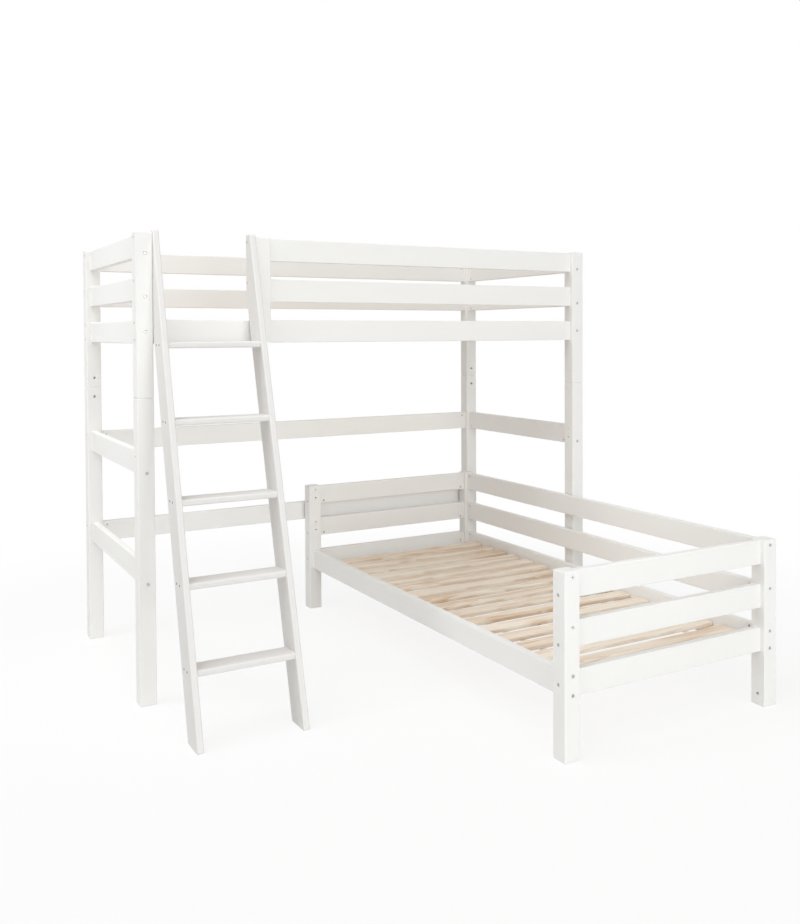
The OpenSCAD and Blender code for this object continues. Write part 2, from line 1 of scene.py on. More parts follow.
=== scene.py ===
"""Finishes, webbing, lamps and camera for the L-shaped bunk bed.

The timber, bolts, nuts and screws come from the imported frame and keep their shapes.
This file gives them their finishes, models the stapled webbing under the slats, and
sets the stage.  All lengths are in metres, in the frame's axes: +X runs along the
loft, +Y from the low bed's foot to its head, +Z up, and the floor is at z = 0.
"""

import math

import bpy
from bpy.props import FloatProperty, FloatVectorProperty, IntProperty, PointerProperty
from mathutils import Matrix, Vector


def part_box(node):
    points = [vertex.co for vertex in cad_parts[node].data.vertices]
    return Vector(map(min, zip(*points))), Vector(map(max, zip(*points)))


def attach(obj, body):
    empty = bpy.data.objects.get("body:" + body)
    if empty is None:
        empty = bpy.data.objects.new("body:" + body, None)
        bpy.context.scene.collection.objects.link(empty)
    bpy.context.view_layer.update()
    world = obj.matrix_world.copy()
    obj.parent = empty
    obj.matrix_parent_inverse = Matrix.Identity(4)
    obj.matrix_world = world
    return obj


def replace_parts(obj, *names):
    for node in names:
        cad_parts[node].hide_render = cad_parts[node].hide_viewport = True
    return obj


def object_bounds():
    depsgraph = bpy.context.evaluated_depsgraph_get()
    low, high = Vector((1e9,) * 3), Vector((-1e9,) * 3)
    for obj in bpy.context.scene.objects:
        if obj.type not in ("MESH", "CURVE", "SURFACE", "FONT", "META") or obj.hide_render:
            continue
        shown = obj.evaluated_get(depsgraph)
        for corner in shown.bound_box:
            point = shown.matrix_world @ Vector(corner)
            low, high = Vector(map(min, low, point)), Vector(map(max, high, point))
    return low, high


bl_info = {
    "name": "L-shaped bunk bed",
    "version": (1, 0, 0),
    "blender": (4, 5, 0),
    "location": "3D View > Sidebar > Bunk Bed",
    "description": "Finishes, webbing and stage for the L-shaped bunk bed",
    "category": "Object",
}

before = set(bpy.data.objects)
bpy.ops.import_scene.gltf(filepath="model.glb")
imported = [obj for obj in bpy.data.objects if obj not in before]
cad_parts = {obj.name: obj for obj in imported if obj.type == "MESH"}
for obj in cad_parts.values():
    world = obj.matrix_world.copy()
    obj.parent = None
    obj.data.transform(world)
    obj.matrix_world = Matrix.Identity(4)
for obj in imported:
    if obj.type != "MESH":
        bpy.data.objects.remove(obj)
CAD_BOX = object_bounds()

MM = 0.001
NEARLY = 0.1 * MM  # points that are closer than this count as one
UP = Vector((0.0, 0.0, 1.0))
WHITE = (1.0, 1.0, 1.0)

# ---------- the frame's nodes, by finish ----------

LEVELS = ("low", "mid", "top")
GUARD_LEVELS = LEVELS[1:]
CORNERS = ("front_left", "front_right", "back_left", "back_right")

# The painted boards, by the way that their grain runs.
GRAIN_X = (
    "loft_side_rail_front",
    "loft_side_rail_back",
    "leg_back_rail_low",
    "leg_back_rail_high",
    *(f"loft_guard_{side}_{level}" for side in ("front", "back") for level in GUARD_LEVELS),
    *(f"bed_{end}_rail_{level}" for end in ("head", "foot") for level in LEVELS),
)
GRAIN_Y = (
    "leg_left_rail_low",
    "leg_left_rail_high",
    "leg_right_rail_high",
    "bed_side_rail_left",
    "bed_side_rail_right",
    *(f"bed_guard_{level}" for level in GUARD_LEVELS),
    *(f"loft_{end}_rail_{level}" for end in ("left", "right") for level in LEVELS),
)
GRAIN_Z = (
    "ladder_guard_post",
    *(f"loft_post_{corner}" for corner in CORNERS),
    *(f"leg_{corner}" for corner in CORNERS),
    *(f"bed_post_{end}_{side}" for end in ("head", "foot") for side in ("left", "right")),
)
TREADS = tuple(f"ladder_tread_{number}" for number in range(1, 6))
STRINGERS = ("ladder_stringer_left", "ladder_stringer_right")
BRIGHT_METAL = (
    "rail_bolts",
    "barrel_nuts",
    "post_joint_studs",
    "ladder_bolts",
    "ladder_sleeve_nuts",
)

# The axis along which each bed's slats lie side by side: X is 0 and Y is 1.
SLAT_AXES = {"loft": 0, "bed": 1}


def slat_row(bed, webbing):
    """The lowest and highest corner of a bed's slats, and the pitch of their row."""
    low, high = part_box(f"{bed}_slats")
    axis = SLAT_AXES[bed]
    pitch = (high[axis] - low[axis] - webbing.slat_width) / (webbing.slats - 1)
    return low, high, pitch


# ---------- sizes and colours that a user may change ----------


class BunkBedFinish(bpy.types.PropertyGroup):
    """Colours and gloss of the painted and bare timber and of the metal."""

    paint: FloatVectorProperty(
        name="Paint", description="White lacquer", subtype="COLOR", size=3,
        default=(0.885, 0.88, 0.868), min=0.0, max=1.0,
    )
    # Painted shade: the ladder has the same white lacquer as the rest; this greyer copy stands in
    # for the dimmer light on the ladder.
    ladder_shaded_paint: FloatVectorProperty(
        name="Ladder paint", description="Lacquer of the ladder, a shade greyer",
        subtype="COLOR", size=3, default=(0.80, 0.785, 0.775), min=0.0, max=1.0,
    )
    paint_gloss: FloatProperty(
        name="Paint roughness", description="0 is a mirror, 1 is matt",
        default=0.46, min=0.05, max=1.0,
    )
    sapwood: FloatVectorProperty(
        name="Sapwood", description="Pale wood between the growth rings",
        subtype="COLOR", size=3, default=(0.935, 0.855, 0.75), min=0.0, max=1.0,
    )
    latewood: FloatVectorProperty(
        name="Latewood", description="Darker wood of the growth rings",
        subtype="COLOR", size=3, default=(0.66, 0.45, 0.285), min=0.0, max=1.0,
    )
    knot: FloatVectorProperty(
        name="Knots", description="Wood of the knots", subtype="COLOR", size=3,
        default=(0.20, 0.10, 0.05), min=0.0, max=1.0,
    )
    zinc: FloatVectorProperty(
        name="Zinc", description="Plating of bolts, nuts, studs and staples",
        subtype="COLOR", size=3, default=(0.50, 0.495, 0.485), min=0.0, max=1.0,
    )
    # Dark plating of the screws, drawn this dark partly as painted shade for the holes that they
    # sit in.
    screw: FloatVectorProperty(
        name="Screws", description="Darker plating of the wood screws",
        subtype="COLOR", size=3, default=(0.10, 0.098, 0.094), min=0.0, max=1.0,
    )
    webbing: FloatVectorProperty(
        name="Webbing", description="Cotton tape under the slats", subtype="COLOR",
        size=3, default=(0.92, 0.905, 0.87), min=0.0, max=1.0,
    )
    ring_width: FloatProperty(
        name="Ring width", description="Wood that the tree grew in a year",
        unit="LENGTH", default=4.2 * MM, min=0.001,
    )


class BunkBedWebbing(bpy.types.PropertyGroup):
    """Sizes of the tapes that link the slats, and of their staples."""

    slats: IntProperty(
        name="Slats", description="Number of slats in a bed", default=16, min=2
    )
    slat_width: FloatProperty(
        name="Slat width", description="Width of one slat", unit="LENGTH",
        default=70 * MM, min=0.02,
    )
    width: FloatProperty(
        name="Tape width", description="Width of a tape", unit="LENGTH",
        default=25 * MM, min=0.005,
    )
    inset: FloatProperty(
        name="Tape inset", description="From a slat's end to the middle of the tape",
        unit="LENGTH", default=144 * MM, min=0.0,
    )
    thickness: FloatProperty(
        name="Tape thickness", description="Thickness of the tape", unit="LENGTH",
        default=1.1 * MM, min=0.0002,
    )
    sag: FloatProperty(
        name="Tape sag", description="How far the tape hangs between two slats",
        unit="LENGTH", default=2.2 * MM, min=0.0,
    )
    staple_width: FloatProperty(
        name="Staple width", description="Length of a staple's crown",
        unit="LENGTH", default=11 * MM, min=0.002,
    )
    staple_leg: FloatProperty(
        name="Staple leg", description="Length of a staple's legs above its crown",
        unit="LENGTH", default=6 * MM, min=0.001,
    )
    staple_wire: FloatProperty(
        name="Staple wire", description="Thickness of a staple's wire",
        unit="LENGTH", default=1.0 * MM, min=0.0003,
    )


class BunkBedStage(bpy.types.PropertyGroup):
    """Camera, lamps and floor."""

    camera_place: FloatVectorProperty(
        name="Camera", description="Place of the camera", subtype="TRANSLATION",
        unit="LENGTH", size=3, default=(-1.925, -3.523, 1.3925),
    )
    camera_turn: FloatProperty(
        name="Camera turn", description="Turn from +Y towards +X", unit="ROTATION",
        default=0.5223,
    )
    camera_tilt: FloatProperty(
        name="Camera tilt", description="Tilt above the horizon", unit="ROTATION",
        default=-0.0216,
    )
    camera_roll: FloatProperty(
        name="Camera roll", description="Roll about the line of sight",
        unit="ROTATION", default=-0.0045,
    )
    focal_px: FloatProperty(
        name="Focal length", description="Focal length in pixels of the photograph",
        default=959.6, min=100.0,
    )
    centre_px: FloatVectorProperty(
        name="Optical centre", description="Where the line of sight meets the frame",
        size=2, default=(420.2, 355.3),
    )
    front_power: FloatProperty(
        name="Front power", description="Watts of the wide softbox in front",
        default=455.0, min=0.0,
    )
    top_power: FloatProperty(
        name="Top power", description="Watts of the softbox high on the left",
        default=155.0, min=0.0,
    )
    left_power: FloatProperty(
        name="Left power", description="Watts of the softbox aimed at the loft's left end",
        default=3.6, min=0.0,
    )
    bed_power: FloatProperty(
        name="Bed power", description="Watts of the narrow softbox aimed at the low bed",
        default=0.85, min=0.0,
    )
    sky: FloatProperty(
        name="Room light", description="Strength of the even light from all round",
        default=0.46, min=0.0,
    )
    sky_colour: FloatVectorProperty(
        name="Room light colour", description="Colour of the even light",
        subtype="COLOR", size=3, default=(1.0, 0.963, 0.914), min=0.0, max=1.0,
    )
    lamp_colour: FloatVectorProperty(
        name="Lamp colour", description="Colour of the softboxes",
        subtype="COLOR", size=3, default=(0.94, 0.975, 1.0), min=0.0, max=1.0,
    )
    floor: FloatVectorProperty(
        name="Floor", description="Colour of the floor", subtype="COLOR", size=3,
        default=(0.90, 0.90, 0.90), min=0.0, max=1.0,
    )
    floor_white: FloatProperty(
        name="Floor whiteness", description="Share of plain white in the floor that is seen",
        subtype="FACTOR", default=0.84, min=0.0, max=1.0,
    )


# ---------- shader maths ----------


class Value:
    """A socket that carries numbers; arithmetic on it adds Math nodes."""

    def __init__(self, graph, socket):
        self.graph = graph
        self.socket = socket

    def __add__(self, other):
        return self.graph.math("ADD", self, other)

    def __sub__(self, other):
        return self.graph.math("SUBTRACT", self, other)

    def __mul__(self, other):
        return self.graph.math("MULTIPLY", self, other)

    def __truediv__(self, other):
        return self.graph.math("DIVIDE", self, other)

    def __pow__(self, other):
        return self.graph.math("POWER", self, other)

    def __gt__(self, other):
        return self.graph.math("GREATER_THAN", self, other)

    # The reflected forms, for a plain number that stands first, as in 1.0 - mask.
    # A sum and a product are the same either way round.

    __radd__ = __add__
    __rmul__ = __mul__

    def __rsub__(self, other):
        return self.graph.math("SUBTRACT", other, self)

    def __rtruediv__(self, other):
        return self.graph.math("DIVIDE", other, self)

    def __rpow__(self, other):
        return self.graph.math("POWER", other, self)

    def __lt__(self, other):
        return self.graph.math("LESS_THAN", self, other)

    def floor(self):
        """The whole number below."""
        return self.graph.math("FLOOR", self)

    def fract(self):
        """The part after the point."""
        return self.graph.math("FRACT", self)

    def sine(self):
        """The sine of this value, in radians."""
        return self.graph.math("SINE", self)

    def step(self, low, high):
        """0 below low, 1 above high and a smooth rise between them."""
        made = self.graph.node(
            "ShaderNodeMapRange",
            {"interpolation_type": "SMOOTHSTEP"},
            {"Value": self, "From Min": low, "From Max": high},
        )
        return made.value("Result")


class Made:
    """A node that was added, with its outputs by name."""

    def __init__(self, graph, node):
        self.graph = graph
        self.node = node

    def out(self, name=0):
        """One of the node's output sockets."""
        return self.node.outputs[name]

    def value(self, name=0):
        """One of the node's outputs as a number to calculate with."""
        return Value(self.graph, self.out(name))


class Graph:
    """The node tree of a material or of the world."""

    def __init__(self, owner):
        owner.use_nodes = True
        self.owner = owner
        self.tree = owner.node_tree
        self.tree.nodes.clear()

    def node(self, kind, settings=None, sockets=None):
        """Adds a node of a kind: its settings first, then its sockets' values or links.

        A plain colour is given as red, green and blue, without alpha.
        """
        made = self.tree.nodes.new(kind)
        for name, setting in (settings or {}).items():
            setattr(made, name, setting)
        for name, source in (sockets or {}).items():
            socket = made.inputs[name]
            if isinstance(source, Value):
                source = source.socket
            if isinstance(source, bpy.types.NodeSocket):
                self.tree.links.new(source, socket)
            elif socket.type == "RGBA":
                socket.default_value = (*source, 1.0)
            else:
                socket.default_value = source
        return Made(self, made)

    def math(self, operation, *terms):
        """A Math node on terms that are values or plain numbers."""
        sockets = dict(enumerate(terms))
        return self.node("ShaderNodeMath", {"operation": operation}, sockets).value()

    def vector_math(self, operation, *terms):
        """A Vector Math node on terms that are vectors."""
        sockets = dict(enumerate(terms))
        return self.node("ShaderNodeVectorMath", {"operation": operation}, sockets)

    def place(self, stretch=(1.0, 1.0, 1.0), turn=(0.0, 0.0, 0.0), shift=None):
        """The point on the object: shifted, then turned, then stretched."""
        where = self.node("ShaderNodeTexCoord").out("Object")
        if shift is not None:
            where = self.vector_math("ADD", where, shift).out()
        turned = self.node(
            "ShaderNodeMapping", {"vector_type": "POINT"}, {"Vector": where, "Rotation": turn}
        )
        return self.vector_math("MULTIPLY", turned.out(), stretch).out()

    def noise(self, place, scale=1.0, detail=2.0, roughness=0.5):
        """Soft noise from 0 to 1; scale is how often it changes in a metre."""
        return self.node(
            "ShaderNodeTexNoise",
            {"noise_dimensions": "3D"},
            {"Vector": place, "Scale": scale, "Detail": detail, "Roughness": roughness},
        ).value("Fac")

    def mix(self, share, low, high):
        """A colour between low and high: the node's sockets 6 and 7, mixed in output 2."""
        made = self.node(
            "ShaderNodeMix",
            {"data_type": "RGBA", "clamp_factor": True},
            {0: share, 6: low, 7: high},
        )
        return made.out(2)

    def vector(self, x=0.0, y=0.0, z=0.0):
        """A vector of three values."""
        return self.node("ShaderNodeCombineXYZ", None, {0: x, 1: y, 2: z}).out()

    def parts(self, vector):
        """The three values of a vector."""
        split = self.node("ShaderNodeSeparateXYZ", None, {0: vector})
        return split.value(0), split.value(1), split.value(2)

    def bump(self, height, distance, strength):
        """A normal from a height; a height of 1 stands distance metres proud."""
        return self.node(
            "ShaderNodeBump", None, {"Height": height, "Distance": distance, "Strength": strength}
        ).out()

    def surface(self, **sockets):
        """Ends the tree in a Principled shader; sockets are named with underscores."""
        named = {name.replace("_", " "): value for name, value in sockets.items()}
        shader = self.node("ShaderNodeBsdfPrincipled", None, named)
        self.node("ShaderNodeOutputMaterial", None, {"Surface": shader.out()})
        return self.owner

    def seen(self):
        """1 where the camera, a reflection or glass looks, 0 for light on its way."""
        rays = self.node("ShaderNodeLightPath")
        camera, glossy, glass = (
            rays.value(f"Is {kind} Ray") for kind in ("Camera", "Glossy", "Transmission")
        )
        return self.math("MAXIMUM", self.math("MAXIMUM", camera, glossy), glass)


def swing(value, amount):
    """A value or number from 0 to 1, made to swing by amount about 0."""
    return (value - 0.5) * amount


def tinted(colour, tint):
    """A colour times a tint, kept at 1 or less."""
    return tuple(min(1.0, part * share) for part, share in zip(colour, tint))


# ---------- finishes ----------

# Turns that lay a pattern's X along the grain.
ALONG_X = (0.0, 0.0, 0.0)
ALONG_Y = (0.0, 0.0, math.radians(90))
ALONG_Z = (0.0, math.radians(90), 0.0)

# How often a pattern changes in a metre: along the grain, across it and through the board.
LACQUER_RINGS = (1.6, 34.0, 34.0)
LACQUER_FIBRES = (9.0, 420.0, 420.0)
PINE_FIBRES = (9.0, 260.0, 260.0)
PINE_STAINS = (1.6, 20.0, 20.0)
PINE_KNOTS = (3.6, 9.0, 4.0)
HEART_BENDS = (1.3, 5.0, 5.0)
HEART_DIPS = 1.1  # along the grain only

# Tints of the parts of a finish that are darker or brighter than the rest.
OVER_LATEWOOD = (0.985, 0.98, 0.968)
PLATING_SPANGLE = (1.15, 1.15, 1.15)
# Painted shade: the weave's hollows are coloured darker than its ridges.
WEAVE_HOLLOW_SHADE = (0.82, 0.82, 0.82)

# The log that the boards of bare pine were cut from.
BOARDS_APART = (7.0, 7.0, 7.0)  # furthest that two boards lie from each other in its pattern
DIPS_APART = 9.0  # the same in the pattern of its heart's dips
HEART_ASIDE = 70 * MM  # width, about a board's middle, that the heart may lie in
HEART_WANDER = 34 * MM  # width that it wanders in along a board
HEART_DEPTH = 45 * MM  # how far it may lie below a board
HEART_DIP = 50 * MM  # how far it dips below that
KNOT_FREE = 0.40  # limit under which a cell's own number leaves it without a knot
KNOT_EYE = (0.03, 0.075)  # where the dark eye starts and stops to fade, in cells
KNOT_HALO = (0.04, 0.36)  # the same for the wood that bends round it
KNOT_BEND = 1.4  # growth rings that a knot pushes aside
RING_DARKENS = (0.15, 0.85)  # part of a ring's year in which its wood darkens
RING_ENDS = (0.88, 1.0)  # part in which it turns pale again

# The weave of the tapes.
WARP_PITCH = 1.6 * MM
WEFT_PITCH = 2.2 * MM


def lacquer(name, turn, finish, paint):
    """White lacquer over planed pine, with the grain along the board showing faintly."""
    g = Graph(bpy.data.materials.new(name))
    rings = g.noise(g.place(LACQUER_RINGS, turn), detail=4.0, roughness=0.55)
    fibres = g.noise(g.place(LACQUER_FIBRES, turn), detail=3.0)
    cloud = g.noise(g.place(), scale=3.2)
    orange_peel = g.noise(g.place(), scale=620.0, detail=1.0)
    tone = swing(rings, 0.10) + swing(cloud, 0.10) + 0.5
    relief = rings * 0.7 + fibres * 0.3 + orange_peel * 0.12
    return g.surface(
        Base_Color=g.mix(tone.step(0.3, 0.7), tinted(paint, OVER_LATEWOOD), paint),
        Roughness=finish.paint_gloss + swing(cloud, 0.10) + swing(fibres, 0.05),
        Normal=g.bump(relief, distance=0.10 * MM, strength=0.6),
        Specular_IOR_Level=0.28,
    )


def knots(g, turn, shift):
    """A few oval knots: their dark eyes, and the wood that bends round them."""
    cells = g.node(
        "ShaderNodeTexVoronoi",
        {"voronoi_dimensions": "3D"},
        {"Vector": g.place(PINE_KNOTS, turn, shift), "Scale": 1.0, "Randomness": 1.0},
    )
    far = cells.value("Distance")
    chosen = g.parts(cells.out("Color"))[0] > KNOT_FREE
    eye = (1.0 - far.step(*KNOT_EYE)) * chosen
    halo = (1.0 - far.step(*KNOT_HALO)) * chosen
    return eye, halo


def latewood(radius, ring_width, halo):
    """The dark part of each growth ring, where the rings bend round the knots."""
    ring = (radius / ring_width + halo * KNOT_BEND).fract()
    return ring.step(*RING_DARKENS) * (1.0 - ring.step(*RING_ENDS))


def bare_pine(name, turn, finish, boards=None):
    """Planed pine with growth rings, fibres and knots.

    turn lays X along the grain.  boards is (axis, start, pitch) where boards lie side
    by side along an axis: each then has its own tone and its own place in the log.
    """
    g = Graph(bpy.data.materials.new(name))

    # A board's own numbers, each from 0 to 1, say where in the log it was cut.
    own, side, depth, shift = 0.5, 0.5, 0.5, None
    if boards:
        axis, start, pitch = boards
        spot = g.parts(g.node("ShaderNodeTexCoord").out("Object"))[axis] - start
        number = (spot / pitch).floor()
        lot = g.node("ShaderNodeTexWhiteNoise", {"noise_dimensions": "1D"}, {"W": number})
        own, side, depth = g.parts(lot.out("Color"))
        shift = g.vector_math("MULTIPLY", lot.out("Color"), BOARDS_APART).out()
    along, across, _ = g.parts(g.place(turn=turn, shift=shift))
    if boards:
        across = spot - (number + 0.5) * pitch

    # The tree's heart runs below the board and wanders, so that the rings round it
    # show on the top face as broad flames.
    wander = g.noise(g.place(HEART_BENDS, turn, shift)) - 0.5
    dip = g.noise(g.vector(along * HEART_DIPS, own * DIPS_APART), detail=1.0)
    aside = across - (side - 0.5) * HEART_ASIDE + wander * HEART_WANDER
    below = depth * HEART_DEPTH + dip * HEART_DIP
    radius = (aside * aside + below * below) ** 0.5
    eye, halo = knots(g, turn, shift)
    late = latewood(radius, finish.ring_width, halo)

    # Rings, fibres and stains together say how much of the darker wood shows.
    fibres = g.noise(g.place(PINE_FIBRES, turn, shift), roughness=0.6)
    stains = g.noise(g.place(PINE_STAINS, turn, shift)).step(0.42, 0.70)
    dark = late * 0.46 + swing(fibres, 0.34) + stains * 0.55 + swing(own, 0.26) - 0.05
    wood = g.mix(g.math("MAXIMUM", dark, 0.0), finish.sapwood, finish.latewood)
    warm = g.mix(halo * 0.6, wood, finish.latewood)
    relief = fibres * 0.5 + late * 0.3 + (1.0 - eye) * 0.2
    return g.surface(
        Base_Color=g.mix(eye * 0.9, warm, finish.knot),
        Roughness=0.60 + swing(fibres, 0.16) - late * 0.07 - eye * 0.10,
        Normal=g.bump(relief, distance=0.25 * MM, strength=0.7),
        Specular_IOR_Level=0.35,
    )


def plated_steel(name, metal):
    """Plated steel: satin metal with a faint spangle and fine scratches."""
    g = Graph(bpy.data.materials.new(name))
    grains = g.noise(g.place(), scale=900.0)
    cloud = g.noise(g.place(), scale=45.0)
    return g.surface(
        Base_Color=g.mix(cloud.step(0.35, 0.65), metal, tinted(metal, PLATING_SPANGLE)),
        Metallic=0.9,
        Roughness=0.34 + swing(grains, 0.25),
        Normal=g.bump(grains, distance=0.03 * MM, strength=0.5),
    )


def cotton_webbing(name, finish):
    """Woven tape: warp ridges along it and weft ribs across, on the tape's own UV map."""
    g = Graph(bpy.data.materials.new(name))
    across, along, _ = g.parts(g.node("ShaderNodeUVMap", {"uv_map": "tape"}).out())
    warp = (across * (2 * math.pi / WARP_PITCH)).sine()
    weft = (along * (2 * math.pi / WEFT_PITCH)).sine()
    weave = warp * weft * 0.5 + 0.5
    fuzz = g.noise(g.place(), scale=1500.0)
    # Painted shade: the colour darkens in the hollows of the weave.
    hollow_shade = tinted(finish.webbing, WEAVE_HOLLOW_SHADE)
    return g.surface(
        Base_Color=g.mix(weave * 0.7 + fuzz * 0.3, hollow_shade, finish.webbing),
        Roughness=0.92,
        Normal=g.bump(weave * 0.8 + fuzz * 0.2, distance=0.35 * MM, strength=0.9),
        Specular_IOR_Level=0.2,
    )


def paint_nodes(names, material):
    """Gives CAD nodes one finish."""
    for name in names:
        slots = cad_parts[name].data.materials
        slots.clear()
        slots.append(material)


# ---------- modelling helpers ----------


def deselect_all():
    """Leaves nothing selected, so that an operator acts only on what is new."""
    if bpy.context.object and bpy.context.object.mode != "OBJECT":
        bpy.ops.object.mode_set(mode="OBJECT")
    bpy.ops.object.select_all(action="DESELECT")


def settle(piece, name, material):
    """Puts a finished piece's place into its mesh, and gives it its finish and body."""
    deselect_all()
    piece.select_set(True)
    bpy.context.view_layer.objects.active = piece
    bpy.ops.object.transform_apply(location=True, rotation=True, scale=True)
    piece.name = piece.data.name = name
    piece.data.materials.clear()
    piece.data.materials.append(material)
    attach(piece, "root")
    return piece


def apply_modifier(piece, kind, **settings):
    """Adds a modifier with these settings and applies it."""
    modifier = piece.modifiers.new(kind.title(), kind)
    for name, setting in settings.items():
        setattr(modifier, name, setting)
    bpy.context.view_layer.objects.active = piece
    bpy.ops.object.modifier_apply(modifier=modifier.name)


def repeat(piece, count, offset, **settings):
    """Repeats a piece along a row and joins the rest of the row to it."""
    apply_modifier(
        piece, "ARRAY", count=count, use_relative_offset=False, use_constant_offset=True,
        constant_offset_displace=offset, **settings,
    )


def pick(piece, kind, wanted):
    """Goes to edit mode with only the faces or edges selected whose middle is wanted."""
    bpy.ops.object.mode_set(mode="EDIT")
    bpy.ops.mesh.select_mode(type=kind)
    bpy.ops.mesh.select_all(action="DESELECT")
    bpy.ops.object.mode_set(mode="OBJECT")
    mesh = piece.data
    items = mesh.polygons if kind == "FACE" else mesh.edges
    for item in items:
        corners = [mesh.vertices[number].co for number in item.vertices]
        item.select = wanted(sum(corners, Vector((0.0, 0.0, 0.0))) / len(corners))
    bpy.ops.object.mode_set(mode="EDIT")


def extrude_by(offset):
    """Extrudes what is selected in edit mode."""
    bpy.ops.mesh.extrude_region_move(TRANSFORM_OT_translate={"value": tuple(offset)})


def turn_faces_out():
    """Points all faces outwards, and leaves edit mode."""
    bpy.ops.mesh.select_all(action="SELECT")
    bpy.ops.mesh.normals_make_consistent(inside=False)
    bpy.ops.object.mode_set(mode="OBJECT")


# ---------- operators ----------


class BUNKBED_OT_paint(bpy.types.Operator):
    """Lacquer the posts, rails, guards and ladder"""

    bl_idname = "bunkbed.paint"
    bl_label = "Lacquered timber"

    def execute(self, context):
        finish = context.scene.bunkbed_finish
        low, high = (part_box(tread)[1] for tread in (TREADS[0], TREADS[-1]))
        lean = math.atan2(high.y - low.y, high.z - low.z)
        for nodes, name, turn, paint in (
            (GRAIN_X, "lacquer_x", ALONG_X, finish.paint),
            (GRAIN_Y, "lacquer_y", ALONG_Y, finish.paint),
            (GRAIN_Z, "lacquer_z", ALONG_Z, finish.paint),
            # The ladder's greyer lacquer is painted shade.
            (TREADS, "shaded_lacquer_treads", ALONG_X, finish.ladder_shaded_paint),
            (STRINGERS, "shaded_lacquer_stringers", (lean, ALONG_Z[1], 0.0), finish.ladder_shaded_paint),
        ):
            paint_nodes(nodes, lacquer(name, turn, finish, paint))
        return {"FINISHED"}


class BUNKBED_OT_pine(bpy.types.Operator):
    """Give the slats, ledges and dowels their bare pine"""

    bl_idname = "bunkbed.pine"
    bl_label = "Bare pine"

    def execute(self, context):
        finish = context.scene.bunkbed_finish
        webbing = context.scene.bunkbed_webbing
        for bed, turn in (("loft", ALONG_Y), ("bed", ALONG_X)):
            low, _, pitch = slat_row(bed, webbing)
            axis = SLAT_AXES[bed]
            start = low[axis] - (pitch - webbing.slat_width) / 2
            pine = bare_pine(f"pine_{bed}_slats", turn, finish, (axis, start, pitch))
            paint_nodes([f"{bed}_slats"], pine)
        paint_nodes(["loft_ledges"], bare_pine("pine_ledges_x", ALONG_X, finish))
        paint_nodes(["bed_ledges"], bare_pine("pine_ledges_y", ALONG_Y, finish))
        paint_nodes(["locating_dowels"], bare_pine("pine_dowels", ALONG_Z, finish))
        return {"FINISHED"}


class BUNKBED_OT_metal(bpy.types.Operator):
    """Plate the bolts, nuts and studs bright and the screws dark; the screws' dark colour is
    partly painted shade for their sunk holes
    """

    bl_idname = "bunkbed.metal"
    bl_label = "Bolts, nuts and screws"

    def execute(self, context):
        finish = context.scene.bunkbed_finish
        paint_nodes(BRIGHT_METAL, plated_steel("zinc", finish.zinc))
        paint_nodes(["wood_screws"], plated_steel("screw_plating_and_hole_shade", finish.screw))
        return {"FINISHED"}


